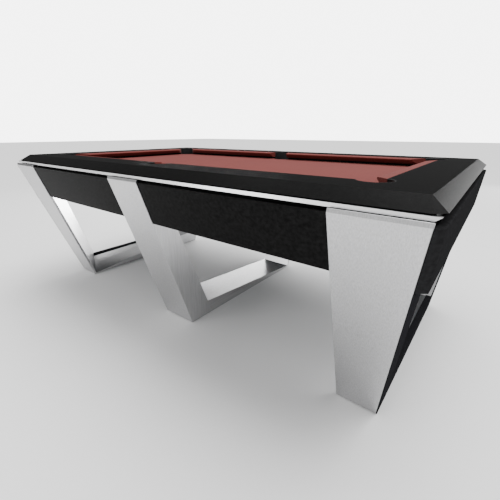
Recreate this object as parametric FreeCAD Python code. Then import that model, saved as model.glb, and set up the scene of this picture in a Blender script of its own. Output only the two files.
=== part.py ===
"""Seven foot pool table on three U-shaped steel frames.

Millimetres, +Z up. The origin is on the floor under the centre of the table, +X runs along
the table and -Y is the front long side. The playing field is 1830 x 915 between the cushions.
"""
import FreeCAD, Part
import math
import os

V = FreeCAD.Vector

# ---- playing field, rails and cushions ---------------------------------------------------
FIELD_LENGTH = 1830.0        # between the cushion noses
FIELD_WIDTH = 915.0
BED_HEIGHT = 772.0           # cloth surface above the floor
RAIL_RISE = 43.0             # top of the rails above the bed
CUSHION_WIDTH = 48.0         # nose to the edge of the black rail
NOSE_RISE = 36.0             # cushion nose above the bed
CUSHION_ROOT = 12.0          # underside of the rubber above the bed, at the rail
CUSHION_SOLE = 0.4           # share of the cushion width that is flat underneath
CUSHION_TOP_DROP = 2.0       # top of the rubber below the rail top, at the rail
NOSE_FLAT = 3.0              # height of the blunt nose
END_CAP_WIDTH = 152.0        # flat top of the two end rails
LONG_CAP_WIDTH = 138.5       # flat top of the two long rails
END_BEVEL_RUN = 41.0
LONG_BEVEL_RUN = 55.0
BEVEL_DROP = 31.0
CORNER_FACET = 27.0          # small flat on each outer corner, at the bottom of the bevel
RAIL_EDGE_RADIUS = 2.0
SKIRT_DEPTH = 22.0           # rail skirt below the bed surface
END_SKIRT_INSET = 20.0       # skirt face behind the bottom of the bevel
LONG_SKIRT_INSET = 9.0
SKIRT_SLATE_GAP = 8.0

# ---- pockets -------------------------------------------------------------------------------
CORNER_MOUTH = 116.0         # between the nose tips
SIDE_MOUTH = 130.0
CORNER_JAW_ANGLE = 38.0      # cushion end face against the nose line, degrees
SIDE_JAW_ANGLE = 76.0
POCKET_RADIUS = 53.0         # inside of the cup
CUP_WALL = 3.5
CUP_RAIL_GAP = 0.3
CUP_SLATE_GAP = 3.5
CUP_DEPTH = 104.0            # bed surface to the inside of the cup's floor
CUP_FLOOR_RADIUS = 24.0
CUP_RIM_DROP = 2.0           # cup rim below the rail top, and below the bed at its mouth
CUP_FLANGE_WIDTH = 13.5
CUP_FLANGE_THICKNESS = 4.0
CORNER_POCKET_OUT = 27.0     # cup axis beyond both nose lines
SIDE_POCKET_OUT = 62.0       # cup axis beyond the long nose line

# ---- slate and cloth -----------------------------------------------------------------------
SLATE_THICKNESS = 25.0
SLATE_UNDER_RAIL = 67.0      # slate beyond the inner edge of the rails
CLOTH_THICKNESS = 1.0

# ---- steel chassis ---------------------------------------------------------------------------
BEAM_HEIGHT = 60.0
BEAM_WIDTH = 50.0
END_BEAM_WIDTH = 60.0
MIDDLE_BEAM_WIDTH = 28.0
MIDDLE_BEAM_INSET = 1.0      # behind the side of the middle leg
BEAM_WALL = 3.0
LONG_BEAM_WIDTH = 60.0
CUP_BEAM_GAP = 3.0

# ---- leg frames --------------------------------------------------------------------------------
LEG_PROUD = 19.0             # leg face beyond the bottom of the long bevel
LEG_LEAN = 0.3123            # run per unit of height
SIDE_INSET = 17.0            # end leg edge inside the bottom of the end bevel
SIDE_LEAN = 0.1161
APRON_TOP_DROP = 14.0        # apron and leg face top below the bed
PLATE_RISE = 11.0            # chamfered lip of the leg above the apron
LIP_CHAMFER = 7.0
PLATE_THICKNESS = 10.0
END_LEG_WIDTH = 236.0        # at its top
MIDDLE_LEG_WIDTH = 208.0
LEG_WALL = 4.0
LEG_TOP_WALL = 10.0
FOOT_WALL = 14.0
FRAME_CLEARANCE = 4.0        # underside of the frames above the floor
WEDGE_THIN = 14.0            # end front leg at its inner edge
WEDGE_SLOPE = 0.66           # depth gained per unit of width
BAR_OVERLAP = 10.5           # end bar drawn into the front leg before it is trimmed to it
END_BACK_DEPTH = 112.0
MIDDLE_DEPTH_FOOT = 148.0
MIDDLE_DEPTH_TOP = 105.0
MIDDLE_THIN = 14.0
MIDDLE_BAR_OVERLAP = 3.5
TAB_THICKNESS = 10.0
END_BAR_HEIGHT = 95.0
END_BAR_THIN = 9.0           # height of the inner front corner above the floor
BAR_ROOM_BACK = 16.0         # hollow of the end bar: solid left at its back
BAR_ROOM_INSET = 48.0        # and at its inner front corner
MIDDLE_BAR_HEIGHT = 81.0     # at the foot of the thick leg
MIDDLE_BAR_THIN = 10.0       # at the foot of the thin leg
COVER_THICKNESS = 4.0
FLANGE_WIDTH = 24.0            # top flange of the cover, lying on the floor bar
FLANGE_THICKNESS = 3.0

# ---- aprons and trim ------------------------------------------------------------------------------
APRON_HEIGHT = 178.0
APRON_THICKNESS = 20.0
APRON_SETBACK = 3.0
APRON_GAP = 0.5
END_APRON_PROUD = 4.0        # beyond the bottom of the end bevel
END_APRON_LEAN = 0.073
CORNER_CHAMFER = 22.0
APRON_EDGE_RADIUS = 4.0
COVER_GAP = 2.0
TRIM_PROJECTION = 12.0
TRIM_HEIGHT = 11.0
TRIM_TOP_DROP = 4.0          # below the bevel
TRIM_END_OVERHANG = 14.0

# ---- fasteners and feet ---------------------------------------------------------------------------
BOLT_RADIUS = 5.0
BOLT_HOLE_GAP = 0.25
BOLT_HEAD_ACROSS = 17.0
BOLT_HEAD_HEIGHT = 6.4
RAIL_BOLT_REACH = 28.0       # into the rail
RAIL_BOLT_MARGIN = 0.25      # share of the clear run left at each end
END_BOLT_SPREAD = 0.625      # share of the clear run on the end rails
FRAME_BOLT_REACH = 16.0
FRAME_BOLT_ROWS = (0.3, 0.65)  # shares of the leg depth behind its face
BOLT_TIP_ROOM = 2.0
PAD_RADIUS = 24.0
PAD_GAP = 0.3
STUD_RADIUS = 6.0
STUD_FIT = 0.05
STUD_LENGTH = 16.0
STUD_SOCKET_DEPTH = 1.7
SEAT_SHARE = 1 / 3           # of the pad's height lies under its stud
FOOT_INSET = 34.0            # foot centre inside the outer face of the leg
FOOT_OUTBOARD = 11.0         # end feet outside the middle of the leg's foot
THIN_FOOT_INSET = 180.0      # the same under the thin leg of the middle frame

# ---- places that follow from the sizes above ---------------------------------------------------------
NOSE_X = FIELD_LENGTH / 2
NOSE_Y = FIELD_WIDTH / 2
CAP_X = NOSE_X + CUSHION_WIDTH
CAP_Y = NOSE_Y + CUSHION_WIDTH
TOP_X = CAP_X + END_CAP_WIDTH
TOP_Y = CAP_Y + LONG_CAP_WIDTH
BEVEL_X = TOP_X + END_BEVEL_RUN
BEVEL_Y = TOP_Y + LONG_BEVEL_RUN
RAIL_TOP = BED_HEIGHT + RAIL_RISE
BEVEL_BOTTOM = RAIL_TOP - BEVEL_DROP
SKIRT_BOTTOM = BED_HEIGHT - SKIRT_DEPTH
SKIRT_X = BEVEL_X - END_SKIRT_INSET
SKIRT_Y = BEVEL_Y - LONG_SKIRT_INSET
SLATE_X = CAP_X + SLATE_UNDER_RAIL
SLATE_Y = CAP_Y + SLATE_UNDER_RAIL
SLATE_TOP = BED_HEIGHT - CLOTH_THICKNESS
SLATE_BOTTOM = SLATE_TOP - SLATE_THICKNESS
SEAM_X = SLATE_X / 3
APRON_TOP = BED_HEIGHT - APRON_TOP_DROP
APRON_BOTTOM = APRON_TOP - APRON_HEIGHT
PLATE_TOP = APRON_TOP + PLATE_RISE
BEAM_TOP = SLATE_BOTTOM
BEAM_BOTTOM = BEAM_TOP - BEAM_HEIGHT
CUP_OUTER = POCKET_RADIUS + CUP_WALL
CORNER_CUP_X = NOSE_X + CORNER_POCKET_OUT
CORNER_CUP_Y = NOSE_Y + CORNER_POCKET_OUT
SIDE_CUP_Y = NOSE_Y + SIDE_POCKET_OUT
CUP_FLANGE_RADIUS = CUP_OUTER + CUP_FLANGE_WIDTH
END_BEAM_X = CORNER_CUP_X + CUP_FLANGE_RADIUS + CUP_BEAM_GAP + END_BEAM_WIDTH / 2
LONG_BEAM_Y = CORNER_CUP_Y - CUP_FLANGE_RADIUS - LONG_BEAM_WIDTH / 2
INNER_EDGE_X = BEVEL_X - SIDE_INSET - END_LEG_WIDTH
MIDDLE_EDGE_X = MIDDLE_LEG_WIDTH / 2
MIDDLE_BEAM_X = MIDDLE_EDGE_X - MIDDLE_BEAM_INSET - MIDDLE_BEAM_WIDTH / 2


def face_y(z):
    """Distance of the leaning leg faces from the table's long centre line at height z."""
    return BEVEL_Y + LEG_PROUD - LEG_LEAN * (APRON_TOP - z)


def side_x(z):
    """Distance of the end legs' outer edge from the table's short centre line at height z."""
    return BEVEL_X - SIDE_INSET - SIDE_LEAN * (APRON_TOP - z)


def box(x0, x1, y0, y1, z0, z1):
    return Part.makeBox(x1 - x0, y1 - y0, z1 - z0, V(x0, y0, z0))


def face_of(points):
    return Part.Face(Part.makePolygon(list(points) + [points[0]]))


def prism_x(points, x0, x1):
    """Extrude a closed (y, z) outline from x0 to x1."""
    return face_of([V(x0, y, z) for y, z in points]).extrude(V(x1 - x0, 0, 0))


def prism_y(points, y0, y1):
    """Extrude a closed (x, z) outline from y0 to y1."""
    return face_of([V(x, y0, z) for x, z in points]).extrude(V(0, y1 - y0, 0))


def prism_z(points, z0, z1):
    """Extrude a closed (x, y) outline from z0 to z1."""
    return face_of([V(x, y, z0) for x, y in points]).extrude(V(0, 0, z1 - z0))


def ruled(sections):
    """Solid with straight sides between two closed outlines of the same number of points."""
    wires = [Part.makePolygon(list(points) + [points[0]]) for points in sections]
    return Part.makeLoft(wires, True, True)


def mirror_x(shape):
    return shape.mirror(V(0, 0, 0), V(1, 0, 0))


def mirror_y(shape):
    return shape.mirror(V(0, 0, 0), V(0, 1, 0))


def four_ways(x, y):
    return [(sx * x, sy * y) for sx in (-1, 1) for sy in (-1, 1)]


def fillet_edges(shape, radius, wanted):
    edges = [edge for edge in shape.Edges if wanted(edge.BoundBox)]
    return shape.makeFillet(radius, edges)


def hexagon(x, y, z0, z1, across):
    corner = across / math.sqrt(3)
    turns = [math.radians(60 * i) for i in range(6)]
    return prism_z([(x + corner * math.cos(t), y + corner * math.sin(t)) for t in turns], z0, z1)


def clean(shape):
    return shape.removeSplitter()


# ---- fastener places, used by the bolts and by the holes they pass through -----------------------------
def rail_bolt_places():
    """Bolts that come up through the slate into the rails."""
    long_y = (CAP_Y + SLATE_Y) / 2
    end_x = (CAP_X + SLATE_X) / 2
    corner_limit = CORNER_CUP_X - CUP_FLANGE_RADIUS
    first = MIDDLE_BEAM_X + MIDDLE_BEAM_WIDTH / 2
    before_seam = (first + SEAM_X - BEAM_WIDTH / 2) / 2
    after_seam = SEAM_X + BEAM_WIDTH / 2
    step = (corner_limit - after_seam) * RAIL_BOLT_MARGIN
    along = [before_seam, after_seam + step, corner_limit - step]
    places = [place for x in along for place in four_ways(x, long_y)]
    across = (CORNER_CUP_Y - CUP_FLANGE_RADIUS) * END_BOLT_SPREAD
    places += [(sx * end_x, y) for sx in (-1, 1) for y in (-across, 0.0, across)]
    return places


def frame_bolt_places():
    """Bolts from the cross beams down into the legs."""
    end_depth = WEDGE_THIN + WEDGE_SLOPE * (END_BEAM_X - INNER_EDGE_X)
    places = []
    for x, depth in ((MIDDLE_BEAM_X, MIDDLE_DEPTH_TOP), (END_BEAM_X, end_depth)):
        for share in FRAME_BOLT_ROWS:
            places += four_ways(x, face_y(BEAM_BOTTOM) - share * depth)
    return places


def round_holes(places, radius, z0, z1):
    return [Part.makeCylinder(radius, z1 - z0, V(x, y, z0)) for x, y in places]


# ---- slate, cloth and rails ------------------------------------------------------------------------------
def pocket_notches(radius, z0, z1):
    """Round pocket cuts that run out through the edge of the slate or cloth."""
    height = z1 - z0
    cuts = []
    for x, y in four_ways(CORNER_CUP_X, CORNER_CUP_Y):
        cuts.append(Part.makeCylinder(radius, height, V(x, y, z0)))
        out_x = math.copysign(SLATE_X + radius, x)
        out_y = math.copysign(SLATE_Y + radius, y)
        cuts.append(box(min(x, out_x), max(x, out_x), min(y, out_y), max(y, out_y), z0, z1))
    for sy in (-1, 1):
        y = sy * SIDE_CUP_Y
        out_y = sy * (SLATE_Y + radius)
        cuts.append(Part.makeCylinder(radius, height, V(0, y, z0)))
        cuts.append(box(-radius, radius, min(y, out_y), max(y, out_y), z0, z1))
    return cuts


def slate(x0, x1):
    body = box(x0, x1, -SLATE_Y, SLATE_Y, SLATE_BOTTOM, SLATE_TOP)
    body = body.cut(pocket_notches(CUP_OUTER + CUP_SLATE_GAP, SLATE_BOTTOM, SLATE_TOP))
    near = [p for p in rail_bolt_places() if x0 < p[0] < x1]
    return body.cut(round_holes(near, BOLT_RADIUS + BOLT_HOLE_GAP, SLATE_BOTTOM, SLATE_TOP))


def bed_cloth():
    body = box(-SLATE_X, SLATE_X, -SLATE_Y, SLATE_Y, SLATE_TOP, BED_HEIGHT)
    body = body.cut(pocket_notches(CUP_OUTER + CUP_SLATE_GAP, SLATE_TOP, BED_HEIGHT))
    return body.cut(round_holes(rail_bolt_places(), BOLT_RADIUS + BOLT_HOLE_GAP, SLATE_TOP, BED_HEIGHT))


def corner_facet(sx, sy):
    """Wedge outside the flat that breaks the corner between two bevels."""
    apex = V(sx * TOP_X, sy * TOP_Y, RAIL_TOP)
    foot_a = V(sx * BEVEL_X, sy * (BEVEL_Y - CORNER_FACET), BEVEL_BOTTOM)
    foot_b = V(sx * (BEVEL_X - CORNER_FACET), sy * BEVEL_Y, BEVEL_BOTTOM)
    corner = V(sx * BEVEL_X, sy * BEVEL_Y, BEVEL_BOTTOM)
    outlines = [(apex, foot_a, foot_b), (apex, foot_b, corner), (apex, corner, foot_a),
                (foot_a, corner, foot_b)]
    return Part.makeSolid(Part.makeShell([face_of(outline) for outline in outlines]))


def rail_ring():
    """All four rails as one ring, before the mitres are cut."""
    lower = [V(x, y, BEVEL_BOTTOM) for x, y in ring_corners(BEVEL_X, BEVEL_Y)]
    upper = [V(x, y, RAIL_TOP) for x, y in ring_corners(TOP_X, TOP_Y)]
    crown = ruled([lower, upper])
    crown = crown.cut([corner_facet(sx, sy) for sx in (-1, 1) for sy in (-1, 1)])
    crown = fillet_edges(crown, RAIL_EDGE_RADIUS, lambda b: b.ZMin > RAIL_TOP - 0.1)
    skirt = box(-SKIRT_X, SKIRT_X, -SKIRT_Y, SKIRT_Y, SKIRT_BOTTOM, BEVEL_BOTTOM)
    ring = crown.fuse(skirt)
    ring = ring.cut(box(-CAP_X, CAP_X, -CAP_Y, CAP_Y, SKIRT_BOTTOM, RAIL_TOP))
    seat_x = SLATE_X + SKIRT_SLATE_GAP
    seat_y = SLATE_Y + SKIRT_SLATE_GAP
    ring = ring.cut(box(-seat_x, seat_x, -seat_y, seat_y, SKIRT_BOTTOM, BED_HEIGHT))
    centres = four_ways(CORNER_CUP_X, CORNER_CUP_Y) + [(0, -SIDE_CUP_Y), (0, SIDE_CUP_Y)]
    ring = ring.cut(round_holes(centres, CUP_OUTER + CUP_RAIL_GAP, SKIRT_BOTTOM, RAIL_TOP))
    tip = BED_HEIGHT + RAIL_BOLT_REACH + BOLT_TIP_ROOM
    holes = round_holes(rail_bolt_places(), BOLT_RADIUS + BOLT_HOLE_GAP, SKIRT_BOTTOM, tip)
    return clean(ring.cut(holes))


def ring_corners(x, y):
    return [(-x, -y), (x, -y), (x, y), (-x, y)]


def rails():
    ring = rail_ring()
    reach_x = CAP_X + 2 * END_CAP_WIDTH
    reach_y = CAP_Y + 2 * LONG_CAP_WIDTH
    front = [(-CAP_X, -CAP_Y), (CAP_X, -CAP_Y), (reach_x, -reach_y), (-reach_x, -reach_y)]
    right = [(CAP_X, -CAP_Y), (CAP_X, CAP_Y), (reach_x, reach_y), (reach_x, -reach_y)]
    front_rail = ring.common(prism_z(front, SKIRT_BOTTOM, RAIL_TOP))
    right_rail = ring.common(prism_z(right, SKIRT_BOTTOM, RAIL_TOP))
    return {
        "rail_front": front_rail,
        "rail_back": mirror_y(front_rail),
        "rail_right": right_rail,
        "rail_left": mirror_x(right_rail),
    }


def cushion_profile(root, sign):
    """Rubber section from the rail at root towards the field; sign points at the field."""
    nose = root + sign * CUSHION_WIDTH
    nose_top = BED_HEIGHT + NOSE_RISE
    return [
        (root, RAIL_TOP - CUSHION_TOP_DROP),
        (nose - sign * NOSE_FLAT, nose_top + NOSE_FLAT / 2),
        (nose, nose_top),
        (nose, nose_top - NOSE_FLAT),
        (root + sign * CUSHION_WIDTH * CUSHION_SOLE, BED_HEIGHT + CUSHION_ROOT),
        (root, BED_HEIGHT + CUSHION_ROOT),
    ]


def cushions():
    corner_tip = CORNER_MOUTH / math.sqrt(2)
    corner_run = CUSHION_WIDTH / math.tan(math.radians(CORNER_JAW_ANGLE))
    side_run = CUSHION_WIDTH / math.tan(math.radians(SIDE_JAW_ANGLE))
    long_outline = [
        (SIDE_MOUTH / 2 - side_run, -CAP_Y),
        (NOSE_X - corner_tip + corner_run, -CAP_Y),
        (NOSE_X - corner_tip, -NOSE_Y),
        (SIDE_MOUTH / 2, -NOSE_Y),
    ]
    end_half = NOSE_Y - corner_tip
    end_outline = [
        (NOSE_X, -end_half),
        (CAP_X, -end_half - corner_run),
        (CAP_X, end_half + corner_run),
        (NOSE_X, end_half),
    ]
    strip = prism_x(cushion_profile(-CAP_Y, 1), 0, CAP_X)
    front_right = strip.common(prism_z(long_outline, BED_HEIGHT, RAIL_TOP))
    strip = prism_y(cushion_profile(CAP_X, -1), -CAP_Y, CAP_Y)
    right = strip.common(prism_z(end_outline, BED_HEIGHT, RAIL_TOP))
    return {
        "cushion_front_right": front_right,
        "cushion_front_left": mirror_x(front_right),
        "cushion_back_right": mirror_y(front_right),
        "cushion_back_left": mirror_x(mirror_y(front_right)),
        "cushion_right": right,
        "cushion_left": mirror_x(right),
    }


def pocket_cup(x, y, flange_half_width):
    """Round cup hung under the slate, with a collar that lines the hole in the rails."""
    top = RAIL_TOP - CUP_RIM_DROP
    floor_top = BED_HEIGHT - CUP_DEPTH
    floor = floor_top - CUP_WALL
    inner = Part.makeCylinder(POCKET_RADIUS, top - floor_top, V(x, y, floor_top))
    inner = fillet_edges(inner, CUP_FLOOR_RADIUS, lambda b: b.ZMax < floor_top + 0.1)
    outer = Part.makeCylinder(CUP_OUTER, top - floor, V(x, y, floor))
    outer = fillet_edges(outer, CUP_FLOOR_RADIUS + CUP_WALL, lambda b: b.ZMax < floor + 0.1)
    flange = Part.makeCylinder(CUP_FLANGE_RADIUS, CUP_FLANGE_THICKNESS,
                               V(x, y, SLATE_BOTTOM - CUP_FLANGE_THICKNESS))
    flange = flange.common(box(x - flange_half_width, x + flange_half_width, -SLATE_Y - CUP_OUTER, 0,
                               BEAM_BOTTOM, BEAM_TOP))
    cup = outer.fuse(flange).cut(inner)
    mouth_x = CAP_X + CUP_RAIL_GAP
    mouth_y = CAP_Y + CUP_RAIL_GAP
    mouth = box(-mouth_x, mouth_x, -mouth_y, mouth_y, SLATE_TOP - CUP_RIM_DROP, top)
    return clean(cup.cut(mouth))


def pockets():
    corner = pocket_cup(CORNER_CUP_X, -CORNER_CUP_Y, CUP_FLANGE_RADIUS)
    room = MIDDLE_BEAM_X - MIDDLE_BEAM_WIDTH / 2 - CUP_BEAM_GAP
    side = pocket_cup(0, -SIDE_CUP_Y, min(CUP_FLANGE_RADIUS, room))
    return {
        "pocket_front_right": corner,
        "pocket_front_left": mirror_x(corner),
        "pocket_front_middle": side,
        "pocket_back_right": mirror_y(corner),
        "pocket_back_left": mirror_x(mirror_y(corner)),
        "pocket_back_middle": mirror_y(side),
    }


def bolt(x, y, head_z, tip_z):
    """Hexagon head bolt; the head lies on the side away from the tip."""
    away = math.copysign(BOLT_HEAD_HEIGHT, head_z - tip_z)
    shank = Part.makeCylinder(BOLT_RADIUS, abs(tip_z - head_z), V(x, y, min(tip_z, head_z)))
    head = hexagon(x, y, min(head_z, head_z + away), max(head_z, head_z + away), BOLT_HEAD_ACROSS)
    return clean(shank.fuse(head))


# ---- steel chassis ------------------------------------------------------------------------------------------
def cross_beam(x, width, end_gap):
    """Box section across the table; its ends lean like the leg faces, end_gap behind them."""
    def outline(wall):
        z0 = BEAM_BOTTOM + wall
        z1 = BEAM_TOP - wall
        low = face_y(z0) - end_gap
        high = face_y(z1) - end_gap
        return [(-low, z0), (low, z0), (high, z1), (-high, z1)]
    tube = prism_x(outline(0), x - width / 2, x + width / 2)
    return tube.cut(prism_x(outline(BEAM_WALL), x - width / 2 + BEAM_WALL, x + width / 2 - BEAM_WALL))


def bolted_beam(x, width):
    near = [p for p in frame_bolt_places() if abs(p[0] - x) < width]
    tube = cross_beam(x, width, PLATE_THICKNESS)
    top = BEAM_BOTTOM + BEAM_WALL
    return tube.cut(round_holes(near, BOLT_RADIUS + BOLT_HOLE_GAP, BEAM_BOTTOM, top))


def chassis():
    reach = END_BEAM_X + END_BEAM_WIDTH / 2
    half = LONG_BEAM_WIDTH / 2
    low = BEAM_BOTTOM - BEAM_HEIGHT
    front = box(-reach, reach, -LONG_BEAM_Y - half, -LONG_BEAM_Y + half, low, BEAM_BOTTOM)
    bore = box(-reach + BEAM_WALL, reach - BEAM_WALL, -LONG_BEAM_Y - half + BEAM_WALL,
               -LONG_BEAM_Y + half - BEAM_WALL, low + BEAM_WALL, BEAM_BOTTOM - BEAM_WALL)
    front = front.cut(bore)
    middle = bolted_beam(MIDDLE_BEAM_X, MIDDLE_BEAM_WIDTH)
    end = bolted_beam(END_BEAM_X, END_BEAM_WIDTH)
    seam = cross_beam(SEAM_X, BEAM_WIDTH, APRON_SETBACK + APRON_THICKNESS)
    return {
        "long_beam_front": front,
        "long_beam_back": mirror_y(front),
        "middle_beams": Part.Compound([middle, mirror_x(middle)]),
        "end_beam_right": end,
        "end_beam_left": mirror_x(end),
        "seam_beam_right": seam,
        "seam_beam_left": mirror_x(seam),
    }


# ---- leg frames ----------------------------------------------------------------------------------------------
def leg_solid(x_in, x_out, depth_in, depth_out, z0, z1, inset=0.0):
    """Leaning front leg between heights z0 and z1; x_out and the depths are functions of z."""
    slant = math.hypot(1, (depth_out(z1) - depth_in(z1)) / (x_out(z1) - x_in))
    sections = []
    for z in (z0, z1):
        outer = -face_y(z) + inset
        sections.append([
            V(x_in + inset, outer, z),
            V(x_out(z) - inset, outer, z),
            V(x_out(z) - inset, -face_y(z) + depth_out(z) - inset * slant, z),
            V(x_in + inset, -face_y(z) + depth_in(z) - inset * slant, z),
        ])
    return ruled(sections)


def leg_lip(x_in, x_out):
    """Face plate above the leg box, up to its chamfered lip."""
    outline = [
        (-face_y(BEAM_BOTTOM), BEAM_BOTTOM),
        (-face_y(APRON_TOP), APRON_TOP),
        (-face_y(PLATE_TOP) + LIP_CHAMFER, PLATE_TOP),
        (-face_y(PLATE_TOP) + PLATE_THICKNESS, PLATE_TOP),
        (-face_y(BEAM_BOTTOM) + PLATE_THICKNESS, BEAM_BOTTOM),
    ]
    return prism_x(outline, x_in, x_out)


def outside_end():
    """Everything beyond the leaning outer edge of the right end legs."""
    far = BEVEL_X + END_LEG_WIDTH
    outline = [(side_x(0), 0), (side_x(RAIL_TOP), RAIL_TOP), (far, RAIL_TOP), (far, 0)]
    return prism_y(outline, -2 * BEVEL_Y, 2 * BEVEL_Y)


def wedge_depth(z):
    return WEDGE_THIN + WEDGE_SLOPE * (side_x(z) - INNER_EDGE_X)


def middle_depth(z):
    share = (z - FRAME_CLEARANCE) / (BEAM_BOTTOM - FRAME_CLEARANCE)
    return MIDDLE_DEPTH_FOOT + (MIDDLE_DEPTH_TOP - MIDDLE_DEPTH_FOOT) * share


def frame_bolt_holes():
    radius = BOLT_RADIUS + BOLT_HOLE_GAP
    return round_holes(frame_bolt_places(), radius, BEAM_BOTTOM - LEG_TOP_WALL, BEAM_BOTTOM)


def feet_places():
    """Name and centre of each levelling foot."""
    end_x = (INNER_EDGE_X + side_x(0)) / 2 + FOOT_OUTBOARD
    near = face_y(0) - FOOT_INSET
    thin = face_y(0) - THIN_FOOT_INSET
    return {
        "front_left": (-end_x, -near),
        "front_middle": (0.0, -near),
        "front_right": (end_x, -near),
        "back_left": (-end_x, near),
        "back_middle": (0.0, thin),
        "back_right": (end_x, near),
    }


def foot_sockets():
    top = FRAME_CLEARANCE + STUD_LENGTH + STUD_SOCKET_DEPTH
    places = list(feet_places().values())
    return round_holes(places, STUD_RADIUS + STUD_FIT, FRAME_CLEARANCE, top)


def end_leg_blocks():
    """Front and back leg of the right end frame before they are hollowed."""
    thin = lambda z: WEDGE_THIN
    back_depth = lambda z: END_BACK_DEPTH
    front = leg_solid(INNER_EDGE_X, side_x, thin, wedge_depth, FRAME_CLEARANCE, BEAM_BOTTOM)
    back = leg_solid(INNER_EDGE_X, side_x, back_depth, back_depth, FRAME_CLEARANCE, BEAM_BOTTOM)
    return front, mirror_y(back)


def end_bar_ends():
    """Both ends of the end frame's floor bar, and the height of its inner edge at each."""
    start = -face_y(FRAME_CLEARANCE) + BAR_OVERLAP
    end = face_y(FRAME_CLEARANCE) - END_BACK_DEPTH / 2
    return (start, END_BAR_THIN), (end, END_BAR_HEIGHT)


def end_frame():
    """Right end frame: wedge front leg, floor bar that thickens towards the back, box back leg."""
    low = FRAME_CLEARANCE
    high = BEAM_BOTTOM
    thin = lambda z: WEDGE_THIN
    back_depth = lambda z: END_BACK_DEPTH
    front_full, back_block = end_leg_blocks()
    front_room = leg_solid(INNER_EDGE_X, side_x, thin, wedge_depth, low + FOOT_WALL,
                           high - LEG_TOP_WALL, LEG_WALL)
    lip = leg_lip(INNER_EDGE_X, BEVEL_X).cut(outside_end())
    front = clean(front_full.cut(front_room).fuse(lip))
    back_full = mirror_y(back_block)
    back_room = leg_solid(INNER_EDGE_X, side_x, back_depth, back_depth, low + FOOT_WALL,
                          high - LEG_TOP_WALL, LEG_WALL)
    back = mirror_y(clean(back_full.cut(back_room).fuse(lip)))
    bar = ruled([bar_section(y, inner_height) for y, inner_height in end_bar_ends()])
    bar = bar.cut([front_full, back_block]).cut(bar_room())
    cuts = foot_sockets() + frame_bolt_holes()
    return front.cut(cuts), clean(bar), back.cut(cuts)


def bar_section(y, inner_height, inset=0.0, inner_inset=0.0):
    bottom = FRAME_CLEARANCE + (FOOT_WALL if inset else 0.0)
    top = END_BAR_HEIGHT - inset
    return [
        V(INNER_EDGE_X + inner_inset, y, bottom),
        V(side_x(bottom) - inset, y, bottom),
        V(side_x(top) - inset, y, top),
        V(INNER_EDGE_X + inner_inset, y, inner_height),
    ]


def bar_room():
    """Hollow of the end frame's floor bar; it narrows where the bar thins."""
    low = FRAME_CLEARANCE
    start = -face_y(low) + wedge_depth(low) + LEG_WALL
    end = face_y(low) - END_BACK_DEPTH - BAR_ROOM_BACK
    thin = bar_section(start, low + FOOT_WALL + LEG_WALL, LEG_WALL, BAR_ROOM_INSET)
    thick = bar_section(end, END_BAR_HEIGHT - 2 * LEG_WALL, LEG_WALL, 2 * LEG_WALL)
    return ruled([thin, thick])


def middle_bar_top(y):
    start = -face_y(MIDDLE_BAR_HEIGHT) + middle_depth(MIDDLE_BAR_HEIGHT)
    end = face_y(MIDDLE_BAR_THIN) - MIDDLE_THIN
    fall = (MIDDLE_BAR_HEIGHT - MIDDLE_BAR_THIN) / (end - start)
    return MIDDLE_BAR_HEIGHT - fall * (y - start)


def middle_frame():
    """Middle frame: box front leg, floor bar that thins towards the back, plate back leg."""
    low = FRAME_CLEARANCE
    high = BEAM_BOTTOM
    edge = lambda z: MIDDLE_EDGE_X
    thin = lambda z: MIDDLE_THIN
    front_full = leg_solid(-MIDDLE_EDGE_X, edge, middle_depth, middle_depth, low, high)
    front_room = leg_solid(-MIDDLE_EDGE_X, edge, middle_depth, middle_depth, low + FOOT_WALL,
                           high - LEG_TOP_WALL, LEG_WALL)
    lip = leg_lip(-MIDDLE_EDGE_X, MIDDLE_EDGE_X)
    front = clean(front_full.cut(front_room).fuse(lip))
    plate = leg_solid(-MIDDLE_EDGE_X, edge, thin, thin, low, high)
    tab_outer = -face_y(high) + MIDDLE_THIN / 2
    tab = box(-MIDDLE_EDGE_X, MIDDLE_EDGE_X, tab_outer, -face_y(high) + MIDDLE_DEPTH_TOP,
              high - TAB_THICKNESS, high)
    back = mirror_y(clean(plate.fuse([lip, tab])))
    start = -face_y(low) + middle_depth(low) / 2
    end = face_y(low) - MIDDLE_BAR_OVERLAP
    outline = [(start, low), (end, low), (end, middle_bar_top(end)), (start, middle_bar_top(start))]
    bar = prism_x(outline, -MIDDLE_EDGE_X, MIDDLE_EDGE_X)
    bar = bar.cut([front_full, mirror_y(plate)])
    floor = low + LEG_WALL
    room_start = -face_y(low) + middle_depth(low) + 2 * LEG_WALL
    room_end = face_y(low) - THIN_FOOT_INSET - 2 * PAD_RADIUS
    room = [(room_start, floor), (room_end, floor), (room_end, middle_bar_top(room_end) - LEG_WALL),
            (room_start, middle_bar_top(room_start) - LEG_WALL)]
    bar = bar.cut(prism_x(room, -MIDDLE_EDGE_X + LEG_WALL, MIDDLE_EDGE_X - LEG_WALL))
    cuts = foot_sockets() + frame_bolt_holes()
    return front.cut(cuts), clean(bar.cut(foot_sockets())), back.cut(cuts)


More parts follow.
